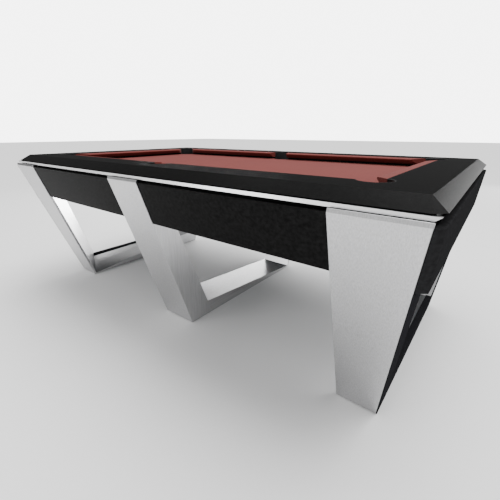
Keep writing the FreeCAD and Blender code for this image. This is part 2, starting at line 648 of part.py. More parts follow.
def side_cover():
    """Black covers on the outer side of the right end frame: front leg, floor bar, back leg."""
    low = FRAME_CLEARANCE
    high = APRON_BOTTOM - COVER_GAP
    def strip(depth):
        sections = []
        for z in (low, high):
            x0 = side_x(z)
            x1 = x0 + COVER_THICKNESS
            y0 = -face_y(z)
            y1 = y0 + depth(z)
            sections.append([V(x0, y0, z), V(x1, y0, z), V(x1, y1, z), V(x0, y1, z)])
        return ruled(sections)
    front = strip(wedge_depth)
    back = mirror_y(strip(lambda z: END_BACK_DEPTH))
    outline = [
        (side_x(low), low),
        (side_x(low) + COVER_THICKNESS, low),
        (side_x(END_BAR_HEIGHT) + COVER_THICKNESS, END_BAR_HEIGHT),
        (side_x(END_BAR_HEIGHT), END_BAR_HEIGHT),
    ]
    reach = face_y(low) - COVER_THICKNESS
    bar = prism_y(outline, -reach, reach).cut([front, back])
    sections = []
    for y, inner_height in end_bar_ends():
        x0 = side_x(END_BAR_HEIGHT)
        fall = (END_BAR_HEIGHT - inner_height) * FLANGE_WIDTH / (x0 - INNER_EDGE_X)
        sections.append([
            V(x0 + COVER_THICKNESS, y, END_BAR_HEIGHT),
            V(x0 + COVER_THICKNESS, y, END_BAR_HEIGHT + FLANGE_THICKNESS),
            V(x0, y, END_BAR_HEIGHT + FLANGE_THICKNESS),
            V(x0 - FLANGE_WIDTH, y, END_BAR_HEIGHT + FLANGE_THICKNESS - fall),
            V(x0 - FLANGE_WIDTH, y, END_BAR_HEIGHT - fall),
            V(x0, y, END_BAR_HEIGHT),
        ])
    flange = ruled(sections).cut([front, back, *end_leg_blocks()])
    return Part.Compound([front, clean(bar.fuse(flange)), back])


# ---- aprons and trim ---------------------------------------------------------------------------------------------
def long_apron():
    """Front right apron, between the middle leg and the end leg."""
    outline = []
    for z, back in ((APRON_BOTTOM, 0), (APRON_TOP, 0), (APRON_TOP, 1), (APRON_BOTTOM, 1)):
        outline.append((-face_y(z) + APRON_SETBACK + back * APRON_THICKNESS, z))
    return prism_x(outline, MIDDLE_EDGE_X + APRON_GAP, INNER_EDGE_X - APRON_GAP)


def end_apron():
    """Right end apron; its corners are cut back to meet the edges of the leg plates."""
    sections = []
    for z in (APRON_BOTTOM, APRON_TOP):
        outer = BEVEL_X + END_APRON_PROUD - END_APRON_LEAN * (APRON_TOP - z)
        inner = side_x(z) + APRON_GAP
        wide = face_y(z)
        flat = wide - CORNER_CHAMFER
        sections.append([V(inner, -wide, z), V(outer, -flat, z), V(outer, flat, z), V(inner, wide, z)])
    board = ruled(sections)
    inner_limit = side_x(APRON_TOP) + 2 * APRON_GAP
    return fillet_edges(board, APRON_EDGE_RADIUS,
                        lambda b: b.ZMin > APRON_TOP - 0.1 and b.XMax > inner_limit)


def trim_strip():
    """Bright strip under the front rail; its ends slant inwards going down."""
    top = BEVEL_BOTTOM - TRIM_TOP_DROP
    bottom = top - TRIM_HEIGHT
    outline = [
        (-SKIRT_X, bottom),
        (SKIRT_X, bottom),
        (SKIRT_X + TRIM_END_OVERHANG, top),
        (-SKIRT_X - TRIM_END_OVERHANG, top),
    ]
    return prism_y(outline, -SKIRT_Y - TRIM_PROJECTION, -SKIRT_Y)


# ---- levelling feet ---------------------------------------------------------------------------------------------
def foot_pad(x, y):
    top = FRAME_CLEARANCE - PAD_GAP
    pad = Part.makeCylinder(PAD_RADIUS, top, V(x, y, 0))
    seat = Part.makeCylinder(STUD_RADIUS + STUD_FIT, top * (1 - SEAT_SHARE), V(x, y, top * SEAT_SHARE))
    return pad.cut(seat)


def foot_stud(x, y):
    top = FRAME_CLEARANCE - PAD_GAP
    start = top * SEAT_SHARE + STUD_FIT
    return Part.makeCylinder(STUD_RADIUS, FRAME_CLEARANCE + STUD_LENGTH - start, V(x, y, start))


def build():
    nodes = {}
    nodes.update(rails())
    nodes.update(cushions())
    nodes.update(pockets())
    nodes.update(chassis())
    nodes["slate_left"] = slate(-SLATE_X, -SEAM_X)
    nodes["slate_middle"] = slate(-SEAM_X, SEAM_X)
    nodes["slate_right"] = slate(SEAM_X, SLATE_X)
    nodes["bed_cloth"] = bed_cloth()
    tip = BED_HEIGHT + RAIL_BOLT_REACH
    nodes["rail_bolts"] = Part.Compound([bolt(x, y, SLATE_BOTTOM, tip) for x, y in rail_bolt_places()])
    head = BEAM_BOTTOM + BEAM_WALL
    tip = head - FRAME_BOLT_REACH
    nodes["frame_bolts"] = Part.Compound([bolt(x, y, head, tip) for x, y in frame_bolt_places()])
    for piece, shape in zip(("front_leg", "floor_bar", "back_leg"), end_frame()):
        nodes["right_" + piece] = shape
        nodes["left_" + piece] = mirror_x(shape)
    for piece, shape in zip(("front_leg", "floor_bar", "back_leg"), middle_frame()):
        nodes["middle_" + piece] = shape
    nodes["right_side_cover"] = side_cover()
    nodes["left_side_cover"] = mirror_x(side_cover())
    apron = long_apron()
    nodes["apron_front_right"] = apron
    nodes["apron_front_left"] = mirror_x(apron)
    nodes["apron_back_right"] = mirror_y(apron)
    nodes["apron_back_left"] = mirror_x(mirror_y(apron))
    nodes["apron_right_end"] = end_apron()
    nodes["apron_left_end"] = mirror_x(end_apron())
    nodes["trim_front"] = trim_strip()
    nodes["trim_back"] = mirror_y(trim_strip())
    for name, (x, y) in feet_places().items():
        nodes["foot_pad_" + name] = foot_pad(x, y)
        nodes["foot_stud_" + name] = foot_stud(x, y)
    return nodes


os.makedirs("parts", exist_ok=True)
for name, shape in build().items():
    shape.exportStep("parts/" + name + ".step")
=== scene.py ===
import math

import bmesh
import bpy
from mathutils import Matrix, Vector


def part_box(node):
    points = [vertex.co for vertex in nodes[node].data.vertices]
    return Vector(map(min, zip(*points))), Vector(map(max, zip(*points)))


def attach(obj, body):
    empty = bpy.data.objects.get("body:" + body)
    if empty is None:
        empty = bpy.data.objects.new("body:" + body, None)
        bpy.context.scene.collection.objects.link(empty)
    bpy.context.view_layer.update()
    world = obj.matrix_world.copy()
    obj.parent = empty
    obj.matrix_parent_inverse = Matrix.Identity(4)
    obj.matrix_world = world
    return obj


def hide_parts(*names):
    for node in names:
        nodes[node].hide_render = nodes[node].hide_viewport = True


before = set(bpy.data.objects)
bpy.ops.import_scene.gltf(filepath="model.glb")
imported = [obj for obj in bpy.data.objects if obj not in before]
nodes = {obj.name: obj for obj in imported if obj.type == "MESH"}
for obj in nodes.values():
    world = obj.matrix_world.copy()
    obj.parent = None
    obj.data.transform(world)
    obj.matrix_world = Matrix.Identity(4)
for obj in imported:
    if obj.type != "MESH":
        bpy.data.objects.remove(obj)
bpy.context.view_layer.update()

MM = 0.001


# ==== Leg frames ==============================================================================
# Three U-shaped frames of folded and welded 1.4301 stainless sheet. Each face is linished with
# a belt along its length, so the grain runs down the legs and across the floor bars.

def srgb(code):
    """Linear RGBA of an sRGB hex value."""
    parts = [int(code[i:i + 2], 16) / 255 for i in (1, 3, 5)]
    linear = [c / 12.92 if c <= 0.04045 else ((c + 0.055) / 1.055) ** 2.4 for c in parts]
    return (*linear, 1.0)


def add(tree, kind, inputs=None, **settings):
    """Add a node, apply its settings, and give each input a value or a link."""
    new = tree.nodes.new(kind)
    for name, value in settings.items():
        setattr(new, name, value)
    for key, value in (inputs or {}).items():
        if isinstance(value, bpy.types.NodeSocket):
            tree.links.new(value, new.inputs[key])
        else:
            new.inputs[key].default_value = value
    return new


def finish_of(name, **shader_values):
    """A new material with a Principled shader; returns it with its tree, shader and position."""
    made = bpy.data.materials.new(name)
    made.use_nodes = True
    tree = made.node_tree
    tree.nodes.clear()
    shader = add(tree, "ShaderNodeBsdfPrincipled")
    for key, value in shader_values.items():
        shader.inputs[key.replace("_", " ")].default_value = value
    add(tree, "ShaderNodeOutputMaterial", {"Surface": shader.outputs[0]})
    where = add(tree, "ShaderNodeTexCoord").outputs["Object"]
    return made, tree, shader, where


def linished_stainless(name, grain):
    """Brushed stainless: a streaked grey gloss, hazier in patches about 200 mm across."""
    made, tree, shader, where = finish_of(name, Metallic=1.0, Anisotropic=0.35)
    scratch = add(tree, "ShaderNodeMapping", {"Vector": where, "Scale": grain})
    lines = add(tree, "ShaderNodeTexNoise", {
        "Vector": scratch.outputs[0], "Scale": 1.0, "Detail": 3.0, "Roughness": 0.7}).outputs["Fac"]
    smear = add(tree, "ShaderNodeTexNoise", {
        "Vector": where, "Scale": 1 / (200 * MM), "Detail": 2.0}).outputs["Fac"]
    shade = add(tree, "ShaderNodeMapRange", {"Value": lines, "From Min": 0.3, "From Max": 0.7})
    colour = add(tree, "ShaderNodeMix", {
        "Factor": shade.outputs[0], "A": srgb("#B2B2B3"), "B": srgb("#D0D0D1")}, data_type="RGBA")
    tree.links.new(colour.outputs["Result"], shader.inputs["Base Color"])
    gloss = add(tree, "ShaderNodeMapRange", {"Value": lines, "To Min": 0.2, "To Max": 0.36})
    hazy = add(tree, "ShaderNodeMath", {0: smear, 1: 0.08, 2: gloss.outputs[0]},
               operation="MULTIPLY_ADD")
    tree.links.new(hazy.outputs[0], shader.inputs["Roughness"])
    bump = add(tree, "ShaderNodeBump", {"Height": lines, "Strength": 0.12, "Distance": 0.05 * MM})
    tree.links.new(bump.outputs[0], shader.inputs["Normal"])
    return made


def dress(names, material):
    """Give the named CAD pieces a material."""
    for name in names:
        for place in nodes[name].material_slots:
            place.material = material


SAME_POINT = 0.01 * MM
SHARP_EDGE = math.radians(25)


def soften(names, width):
    """Break the sharp edges of the named CAD pieces by a small rounded arris."""
    for name in names:
        weld = nodes[name].modifiers.new("weld", "WELD")
        weld.merge_threshold = SAME_POINT
        arris = nodes[name].modifiers.new("arris", "BEVEL")
        arris.width = width
        arris.segments = 2
        arris.limit_method = "ANGLE"
        arris.angle_limit = SHARP_EDGE


# Belt scratches are 0.2 mm apart; they are drawn 2.5 mm apart and 150 mm long so that they show.
ACROSS_GRAIN = 1 / (2.5 * MM)
ALONG_GRAIN = ACROSS_GRAIN / 60
FOLD_RADIUS = 1.4 * MM
legs = [frame_side + leg for frame_side in ("left_", "middle_", "right_")
        for leg in ("front_leg", "back_leg")]
bars = ["left_floor_bar", "middle_floor_bar", "right_floor_bar"]
dress(legs, linished_stainless("linished stainless, grain down",
                               (ACROSS_GRAIN, ACROSS_GRAIN, ALONG_GRAIN)))
dress(bars, linished_stainless("linished stainless, grain across",
                               (ACROSS_GRAIN, ALONG_GRAIN, ACROSS_GRAIN)))
soften(legs + bars, FOLD_RADIUS)


# ==== Black covers on the end frames ===========================================================
# Folded steel panels clipped to the outer sides of the end frames, in a fine textured black
# powder coat: a soft even sheen with a slight orange peel.

def textured_black(name, colour, grain_mm, rough, depth_mm, shine=0.2):
    """Black skin with an irregular pebbled grain; the tone drifts over four grains."""
    made, tree, shader, where = finish_of(name, IOR=1.5, Specular_IOR_Level=shine)
    cells = add(tree, "ShaderNodeTexVoronoi", {"Vector": where, "Scale": 1 / (grain_mm * MM)},
                feature="F1").outputs["Distance"]
    drift = add(tree, "ShaderNodeTexNoise", {
        "Vector": where, "Scale": 1 / (4 * grain_mm * MM), "Detail": 4.0}).outputs["Fac"]
    tone = add(tree, "ShaderNodeMapRange", {"Value": drift, "From Min": 0.3, "From Max": 0.7})
    base = add(tree, "ShaderNodeMix", {
        "Factor": tone.outputs[0], "A": srgb(colour[0]), "B": srgb(colour[1])}, data_type="RGBA")
    tree.links.new(base.outputs["Result"], shader.inputs["Base Color"])
    gloss = add(tree, "ShaderNodeMapRange", {
        "Value": cells, "To Min": rough - 0.06, "To Max": rough + 0.08})
    tree.links.new(gloss.outputs[0], shader.inputs["Roughness"])
    bump = add(tree, "ShaderNodeBump", {
        "Height": cells, "Strength": 0.35, "Distance": depth_mm * MM})
    tree.links.new(bump.outputs[0], shader.inputs["Normal"])
    return made


dress(["left_side_cover", "right_side_cover"],
      textured_black("powder coat, textured black", ("#1E1E1F", "#27272A"), grain_mm=1.8,
                     rough=0.7, depth_mm=0.05, shine=0.0))


# ==== Chassis ==================================================================================
# Welded rectangular steel tube, powder coated black: two long beams with cross beams on top.
# The bolts that hold it to the legs are zinc plated, as are the bolts through the slates.

def zinc_plate():
    """Bright zinc with a faint blue passivate; blotches of about 8 mm."""
    made, tree, shader, where = finish_of("zinc plated steel", Metallic=1.0)
    blotch = add(tree, "ShaderNodeTexNoise", {
        "Vector": where, "Scale": 1 / (8 * MM), "Detail": 3.0}).outputs["Fac"]
    colour = add(tree, "ShaderNodeMix", {
        "Factor": blotch, "A": srgb("#B4B8BD"), "B": srgb("#D3D4D2")}, data_type="RGBA")
    tree.links.new(colour.outputs["Result"], shader.inputs["Base Color"])
    gloss = add(tree, "ShaderNodeMapRange", {"Value": blotch, "To Min": 0.25, "To Max": 0.45})
    tree.links.new(gloss.outputs[0], shader.inputs["Roughness"])
    return made


beams = [name for name in nodes if "beam" in name]
dress(beams, textured_black("powder coat, chassis black", ("#0C0C0D", "#141415"), grain_mm=1.2,
                            rough=0.45, depth_mm=0.03))
zinc = zinc_plate()
studs = [name for name in nodes if name.startswith("foot_stud")]
dress(["rail_bolts", "frame_bolts"] + studs, zinc)


# ==== Levelling feet ===========================================================================
# Round moulded rubber pads, each carried by the ball end of an M12 stud. Only a few millimetres
# of them show under the frames.

def moulded_rubber(name, colour, rough):
    """Matt rubber with mould bloom in soft 12 mm patches."""
    made, tree, shader, where = finish_of(name, IOR=1.52)
    bloom = add(tree, "ShaderNodeTexNoise", {
        "Vector": where, "Scale": 1 / (12 * MM), "Detail": 5.0}).outputs["Fac"]
    base = add(tree, "ShaderNodeMix", {
        "Factor": bloom, "A": srgb(colour[0]), "B": srgb(colour[1])}, data_type="RGBA")
    tree.links.new(base.outputs["Result"], shader.inputs["Base Color"])
    gloss = add(tree, "ShaderNodeMapRange", {
        "Value": bloom, "To Min": rough - 0.1, "To Max": rough + 0.1})
    tree.links.new(gloss.outputs[0], shader.inputs["Roughness"])
    return made


pads = [name for name in nodes if name.startswith("foot_pad")]
dress(pads, moulded_rubber("moulded rubber, foot", ("#161616", "#222222"), rough=0.8))


# ==== Slates ===================================================================================
# Three slabs of Italian slate, sawn and honed to 25 mm. The stone is blue-grey with soft dark
# clouding along its bedding.

def honed_slate():
    """Blue-grey slate; clouding about 90 mm across, drawn out along the bedding, and fine grit."""
    made, tree, shader, where = finish_of("honed slate", IOR=1.55)
    clouds_per_metre = (11.0, 22.0, 60.0)
    bedding = add(tree, "ShaderNodeMapping", {"Vector": where, "Scale": clouds_per_metre})
    cloud = add(tree, "ShaderNodeTexNoise", {
        "Vector": bedding.outputs[0], "Scale": 1.0, "Detail": 8.0, "Roughness": 0.6}).outputs["Fac"]
    grit = add(tree, "ShaderNodeTexNoise", {
        "Vector": where, "Scale": 1 / (1.5 * MM), "Detail": 2.0}).outputs["Fac"]
    base = add(tree, "ShaderNodeMix", {
        "Factor": cloud, "A": srgb("#3B4147"), "B": srgb("#5E656B")}, data_type="RGBA")
    tree.links.new(base.outputs["Result"], shader.inputs["Base Color"])
    gloss = add(tree, "ShaderNodeMapRange", {"Value": grit, "To Min": 0.55, "To Max": 0.75})
    tree.links.new(gloss.outputs[0], shader.inputs["Roughness"])
    bump = add(tree, "ShaderNodeBump", {"Height": grit, "Strength": 0.3, "Distance": 0.1 * MM})
    tree.links.new(bump.outputs[0], shader.inputs["Normal"])
    return made


dress(["slate_left", "slate_middle", "slate_right"], honed_slate())


# ==== Bed cloth ================================================================================
# Worsted wool cloth, brick red, stretched over the slates. It is one sheet: it rolls over the
# slates' outer edge, where it is stapled, and down into each pocket.

CLOTH_WRAP = 20 * MM         # how far the cloth hangs down the slates' edge
FLANGE_LAP = 10 * MM         # how far a cup's flange reaches past the hole cut for it
ARC_STEPS = 36


def worsted_cloth(name, colour, sheen):
    """Worsted wool: matt, with crossed threads and wear in patches a third of a metre wide."""
    # The threads lie 0.5 mm apart; they are drawn 2 mm thick and 6 mm long so that they show.
    across_thread, along_thread = 1 / (2 * MM), 1 / (6.25 * MM)
    made, tree, shader, where = finish_of(name, IOR=1.45, Sheen_Weight=sheen, Sheen_Roughness=0.4)
    warp = add(tree, "ShaderNodeMapping", {
        "Vector": where, "Scale": (across_thread, along_thread, across_thread)})
    weft = add(tree, "ShaderNodeMapping", {
        "Vector": where, "Scale": (along_thread, across_thread, across_thread)})
    along = add(tree, "ShaderNodeTexNoise", {
        "Vector": warp.outputs[0], "Scale": 1.0, "Detail": 2.0}).outputs["Fac"]
    across = add(tree, "ShaderNodeTexNoise", {
        "Vector": weft.outputs[0], "Scale": 1.0, "Detail": 2.0}).outputs["Fac"]
    weave = add(tree, "ShaderNodeMath", {0: along, 1: across}, operation="ADD").outputs[0]
    wear = add(tree, "ShaderNodeTexNoise", {
        "Vector": where, "Scale": 3.0, "Detail": 3.0}).outputs["Fac"]
    mottle = add(tree, "ShaderNodeMath", {0: wear, 1: 0.35, 2: weave},
                 operation="MULTIPLY_ADD").outputs[0]
    spread = add(tree, "ShaderNodeMapRange", {"Value": mottle, "From Min": 0.85, "From Max": 1.5})
    base = add(tree, "ShaderNodeMix", {
        "Factor": spread.outputs[0], "A": srgb(colour[0]), "B": srgb(colour[1])}, data_type="RGBA")
    tree.links.new(base.outputs["Result"], shader.inputs["Base Color"])
    gloss = add(tree, "ShaderNodeMapRange", {
        "Value": weave, "From Max": 2.0, "To Min": 0.8, "To Max": 0.95})
    tree.links.new(gloss.outputs[0], shader.inputs["Roughness"])
    bump = add(tree, "ShaderNodeBump", {"Height": weave, "Strength": 0.25, "Distance": 0.3 * MM})
    tree.links.new(bump.outputs[0], shader.inputs["Normal"])
    return made


def new_piece(name, mesh, materials):
    """Make an object at the origin from a finished bmesh."""
    data = bpy.data.meshes.new(name)
    mesh.to_mesh(data)
    mesh.free()
    piece = bpy.data.objects.new(name, data)
    bpy.context.scene.collection.objects.link(piece)
    for material in materials:
        data.materials.append(material)
    return piece


def cup_centre(name):
    """The middle of a pocket cup, seen from above."""
    low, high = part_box(name)
    return Vector(((low[0] + high[0]) / 2, (low[1] + high[1]) / 2))


def arc(centre, radius, start, turn, steps):
    """Points on an arc, angles in degrees."""
    angles = [math.radians(start + turn * i / steps) for i in range(steps + 1)]
    return [Vector((centre[0] + radius * math.cos(a), centre[1] + radius * math.sin(a)))
            for a in angles]


cloth_low, cloth_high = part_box("bed_cloth")
corner_cup = cup_centre("pocket_back_right")
side_cup = cup_centre("pocket_back_middle")
flange_low, flange_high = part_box("pocket_back_right")
flange_radius = (flange_high[0] - flange_low[0]) / 2
NOTCH = flange_radius - FLANGE_LAP


def cloth_outline():
    """The cut edge of slate and cloth, counter-clockwise, as a list of points."""
    half_x, half_y = cloth_high[0], cloth_high[1]
    quarter = [Vector((half_x, 0.0)), Vector((half_x, corner_cup.y))]
    quarter += arc(corner_cup, NOTCH, 0, -270, ARC_STEPS)
    quarter += [Vector((corner_cup.x, half_y)), Vector((NOTCH, half_y))]
    quarter += arc(side_cup, NOTCH, 0, -90, ARC_STEPS // 2)
    turned = [Vector((-p.x, p.y)) for p in reversed(quarter[:-1])]
    upper = quarter + turned
    lower = [Vector((p.x, -p.y)) for p in reversed(upper[1:-1])]
    return upper + lower


def moved_out(outline, distance):
    """The same closed outline, each point moved outwards along its mitre."""
    least_normal, least_cosine = 0.4, 0.5    # these keep the mitre of a sharp corner short
    out = []
    for i, here in enumerate(outline):
        before = (here - outline[i - 1]).normalized()
        after = (outline[(i + 1) % len(outline)] - here).normalized()
        normal = Vector((before.y + after.y, -before.x - after.x))
        size = max(normal.length, least_normal)
        out.append(here + normal / size * distance / max(size / 2, least_cosine))
    return out


def bed_sheet():
    """The sheet's upper side: a flat top and an edge that rolls over and hangs down."""
    roll = [(-2.5 * MM, 0.0), (-0.8 * MM, -0.05 * MM), (0.2 * MM, -0.4 * MM),
            (0.8 * MM, -1.0 * MM), (1.0 * MM, -2.2 * MM), (1.1 * MM, -CLOTH_WRAP)]
    outline = cloth_outline()
    mesh = bmesh.new()
    rings = []
    for out, drop in roll:
        rings.append([mesh.verts.new((p.x, p.y, cloth_high[2] + drop))
                      for p in moved_out(outline, out)])
    mesh.faces.new(rings[0])
    for upper, lower in zip(rings, rings[1:]):
        for i in range(len(upper)):
            mesh.faces.new((upper[i - 1], lower[i - 1], lower[i], upper[i]))
    bmesh.ops.triangulate(mesh, faces=[f for f in mesh.faces if len(f.verts) > 4])
    for face in mesh.faces:
        face.smooth = True
    return mesh


red_cloth = worsted_cloth("worsted cloth, brick red", ("#5E1E18", "#6C2720"), sheen=0.03)
bed = new_piece("bed_sheet", bed_sheet(), [red_cloth])
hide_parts("bed_cloth")
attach(bed, "table")


# ==== Cushions =================================================================================
# Gum rubber strips glued to the inner faces of the rails, each wrapped in the same cloth. The
# cloth is held by a feather strip along the rail, folds round the nose and under the rubber,
# and closes over the cut ends at the pockets.

# The cover's section in millimetres: out from the rail, and up from the bed cloth.
COVER = [(0.6, 38.6), (1.3, 41.3), (3.0, 41.9), (24.0, 40.4), (44.6, 38.5), (47.4, 37.7),
         (48.7, 36.2), (48.8, 34.0), (48.2, 32.3), (46.4, 30.8), (34.0, 21.6), (21.0, 12.0),
         (18.6, 11.2), (0.6, 11.2)]
COVER_STEPS = 12             # faces along a cover
END_SHIFT = 0.8 * MM         # the cloth's stand-off at each cut end
SIDE_JAW = math.radians(76)
CORNER_JAW = math.radians(38)
CREASE = math.radians(50)    # the cloth is shaded as folded where it turns by more than this

dress([name for name in nodes if name.startswith("cushion")],
      moulded_rubber("gum rubber", ("#1B1512", "#2A211B"), rough=0.6))
rubber_low, rubber_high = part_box("cushion_right")
cushion_width = rubber_high[0] - rubber_low[0]


def cushion_cover(along, root, inward, start, stop):
    """Sweep the cover's section between the two jaw cuts; start and stop are (nose, root)."""
    mesh = bmesh.new()
    rows = []
    for out, rise in COVER:
        share = min(out * MM / cushion_width, 1.0)
        first = start[1] + (start[0] - start[1]) * share
        last = stop[1] + (stop[0] - stop[1]) * share
        first -= math.copysign(END_SHIFT, last - first)
        last += math.copysign(END_SHIFT, last - first)
        level = root + inward * out * MM
        height = cloth_high[2] + rise * MM
        row = []
        for step in range(COVER_STEPS + 1):
            place = first + (last - first) * step / COVER_STEPS
            spot = (place, level, height) if along == "x" else (level, place, height)
            row.append(mesh.verts.new(spot))
        rows.append(row)
    for near, far in zip(rows, rows[1:]):
        for i in range(COVER_STEPS):
            mesh.faces.new((near[i], near[i + 1], far[i + 1], far[i]))
    for end in (0, COVER_STEPS):
        mesh.faces.new([row[end] for row in rows])
    bmesh.ops.recalc_face_normals(mesh, faces=mesh.faces)
    bmesh.ops.triangulate(mesh, faces=[f for f in mesh.faces if len(f.verts) > 4])
    for face in mesh.faces:
        face.smooth = True
    return mesh


side_run = cushion_width / math.tan(SIDE_JAW)
corner_run = cushion_width / math.tan(CORNER_JAW)

for name in ("front_left", "front_right", "back_left", "back_right", "left", "right"):
    low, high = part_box("cushion_" + name)
    if name in ("left", "right"):
        along, first, last = "y", low[1], high[1]
        root, inward = (low[0], 1) if name == "left" else (high[0], -1)
        run_first, run_last = corner_run, corner_run
    else:
        along, first, last = "x", low[0], high[0]
        root, inward = (low[1], 1) if name.startswith("front") else (high[1], -1)
        on_left = name.endswith("left")
        run_first = corner_run if on_left else side_run
        run_last = side_run if on_left else corner_run
    start = (first + run_first, first)
    stop = (last - run_last, last)
    cover = new_piece("cushion_cover_" + name, cushion_cover(along, root, inward, start, stop),
                      [red_cloth])
    crease = cover.modifiers.new("crease", "EDGE_SPLIT")
    crease.split_angle = CREASE
    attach(cover, "table")


# ==== Rails ====================================================================================
# Poplar rails with mitred corners, clad in a black leather-grain skin that is drawn over the
# bevel. They are bolted up through the slates, and their skirt hides the slates' edge.

rails = ["rail_front", "rail_back", "rail_left", "rail_right"]
SKIN_GRAIN = 3.0             # mm; real grain is about 1 mm, and is drawn coarser so that it shows
RAIL_ARRIS = 0.6 * MM
# Painted shade: the rails get the darkest tone of this skin; the lighter tones of the same skin on
# the aprons are painted light.
dress(rails, textured_black("black leather-grain skin", ("#030303", "#0A0A0A"),
                            grain_mm=SKIN_GRAIN, rough=0.36, depth_mm=0.5, shine=0.025))
soften(rails, RAIL_ARRIS)


# ==== Pockets ==================================================================================
# Moulded black cups. The collar stands up behind the ball and lines the hole in the rails, with
# a rolled leather bead on top; a flange under the slate takes four screws.

def moulded_plastic():
    """Black ABS with a spark-eroded texture of about 1 mm."""
    made, tree, shader, where = finish_of("moulded plastic, pocket", IOR=1.46)
    spark = add(tree, "ShaderNodeTexNoise", {
        "Vector": where, "Scale": 1 / MM, "Detail": 2.0}).outputs["Fac"]
    base = add(tree, "ShaderNodeMix", {
        "Factor": spark, "A": srgb("#0C0C0D"), "B": srgb("#151516")}, data_type="RGBA")
    tree.links.new(base.outputs["Result"], shader.inputs["Base Color"])
    gloss = add(tree, "ShaderNodeMapRange", {"Value": spark, "To Min": 0.45, "To Max": 0.65})
    tree.links.new(gloss.outputs[0], shader.inputs["Roughness"])
    return made


BEAD = 3.2 * MM              # radius of the bead
BEAD_INSET = 4.9 * MM        # its middle line, in from the hole cut for the cup
BEAD_STEPS = 48
BEAD_SIDES = 12


def group_input(tree, name, kind, value):
    """Add a named size to a geometry tree; returns the socket's identifier."""
    socket = tree.interface.new_socket(name, in_out="INPUT", socket_type=kind)
    socket.default_value = value
    return socket.identifier


def bead_tree(material):
    """A round bead swept along an arc: centre, arc radius, first angle, sweep and thickness."""
    tree = bpy.data.node_groups.new("rolled bead", "GeometryNodeTree")
    ids = {"Centre": group_input(tree, "Centre", "NodeSocketVector", (0, 0, 0)),
           "Radius": group_input(tree, "Radius", "NodeSocketFloat", 0.055),
           "First": group_input(tree, "First", "NodeSocketFloat", 0.0),
           "Sweep": group_input(tree, "Sweep", "NodeSocketFloat", 3.0),
           "Thickness": group_input(tree, "Thickness", "NodeSocketFloat", 0.003)}
    tree.interface.new_socket("Geometry", in_out="OUTPUT", socket_type="NodeSocketGeometry")
    given = add(tree, "NodeGroupInput").outputs
    path = add(tree, "GeometryNodeCurveArc", {
        "Resolution": BEAD_STEPS, "Radius": given["Radius"], "Start Angle": given["First"],
        "Sweep Angle": given["Sweep"]})
    placed = add(tree, "GeometryNodeTransform", {
        "Geometry": path.outputs["Curve"], "Translation": given["Centre"]})
    section = add(tree, "GeometryNodeCurvePrimitiveCircle", {
        "Resolution": BEAD_SIDES, "Radius": given["Thickness"]})
    swept = add(tree, "GeometryNodeCurveToMesh", {
        "Curve": placed.outputs[0], "Profile Curve": section.outputs["Curve"], "Fill Caps": True})
    smooth = add(tree, "GeometryNodeSetShadeSmooth", {"Geometry": swept.outputs[0]})
    real = add(tree, "GeometryNodeRealizeInstances", {"Geometry": smooth.outputs[0]})
    done = add(tree, "GeometryNodeSetMaterial", {
        "Geometry": real.outputs[0], "Material": material})
    add(tree, "NodeGroupOutput", {"Geometry": done.outputs[0]})
    return tree, ids


def grown(name, tree, ids, sizes):
    """Run a geometry tree with these sizes and keep its result as a plain mesh."""
    piece = new_piece(name, bmesh.new(), [])
    modifier = piece.modifiers.new("grow", "NODES")
    modifier.node_group = tree
    for key, value in sizes.items():
        modifier[ids[key]] = value
    bpy.context.view_layer.update()
    result = piece.evaluated_get(bpy.context.evaluated_depsgraph_get())
    data = bpy.data.meshes.new_from_object(result)
    piece.modifiers.clear()
    piece.data = data
    return piece


def joined(name, parts):
    """One piece from several grown meshes."""
    mesh = bmesh.new()
    for part in parts:
        mesh.from_mesh(part.data)
    material = parts[0].data.materials[0]
    for part in parts:
        bpy.data.objects.remove(part)
    return new_piece(name, mesh, [material])


cups = [name for name in nodes if name.startswith("pocket")]
dress(cups, moulded_plastic())
collar = NOTCH - BEAD_INSET
bead_finish = textured_black("leather bead", ("#121212", "#1E1D1D"), grain_mm=1.5, rough=0.45,
                             depth_mm=0.08)
bead_nodes, bead_ids = bead_tree(bead_finish)
bead_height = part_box("rail_front")[1][2] - BEAD
inner_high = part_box("cushion_back_right")[1]
over_y = math.asin((inner_high[1] - corner_cup.y) / collar)
over_x = math.acos((rubber_high[0] - corner_cup.x) / collar)
side_dip = math.asin((inner_high[1] - side_cup.y) / collar)
for name in cups:
    centre = cup_centre(name)
    if name.endswith("middle"):
        first, sweep = side_dip, math.pi - 2 * side_dip
    else:
        first, sweep = -over_x, math.pi - over_y + over_x
    if centre.y < 0:
        first = -first - sweep
    if centre.x < -NOTCH:
        first = math.pi - first - sweep
    bead = grown(name.replace("pocket", "bead"), bead_nodes, bead_ids,
                 {"Centre": (centre.x, centre.y, bead_height), "Radius": collar, "First": first,
                  "Sweep": sweep, "Thickness": BEAD})
    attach(bead, "table")


# ==== Small fixings ============================================================================
# Zinc pan-head screws, four to each pocket flange, and the wire staples that hold the bed cloth
# to the edge of the slates, one every 60 mm.

SCREW_RADIUS = 4 * MM
SCREW_HEIGHT = 2.6 * MM
SCREW_SIDES = 16
SCREWS = 4                   # to each flange
FLANGE = 4 * MM              # thickness of the flange under the slate
STAPLE_STEP = 60 * MM
STAPLE_OUT = 1.2 * MM        # the wire's middle, out from the slate's edge


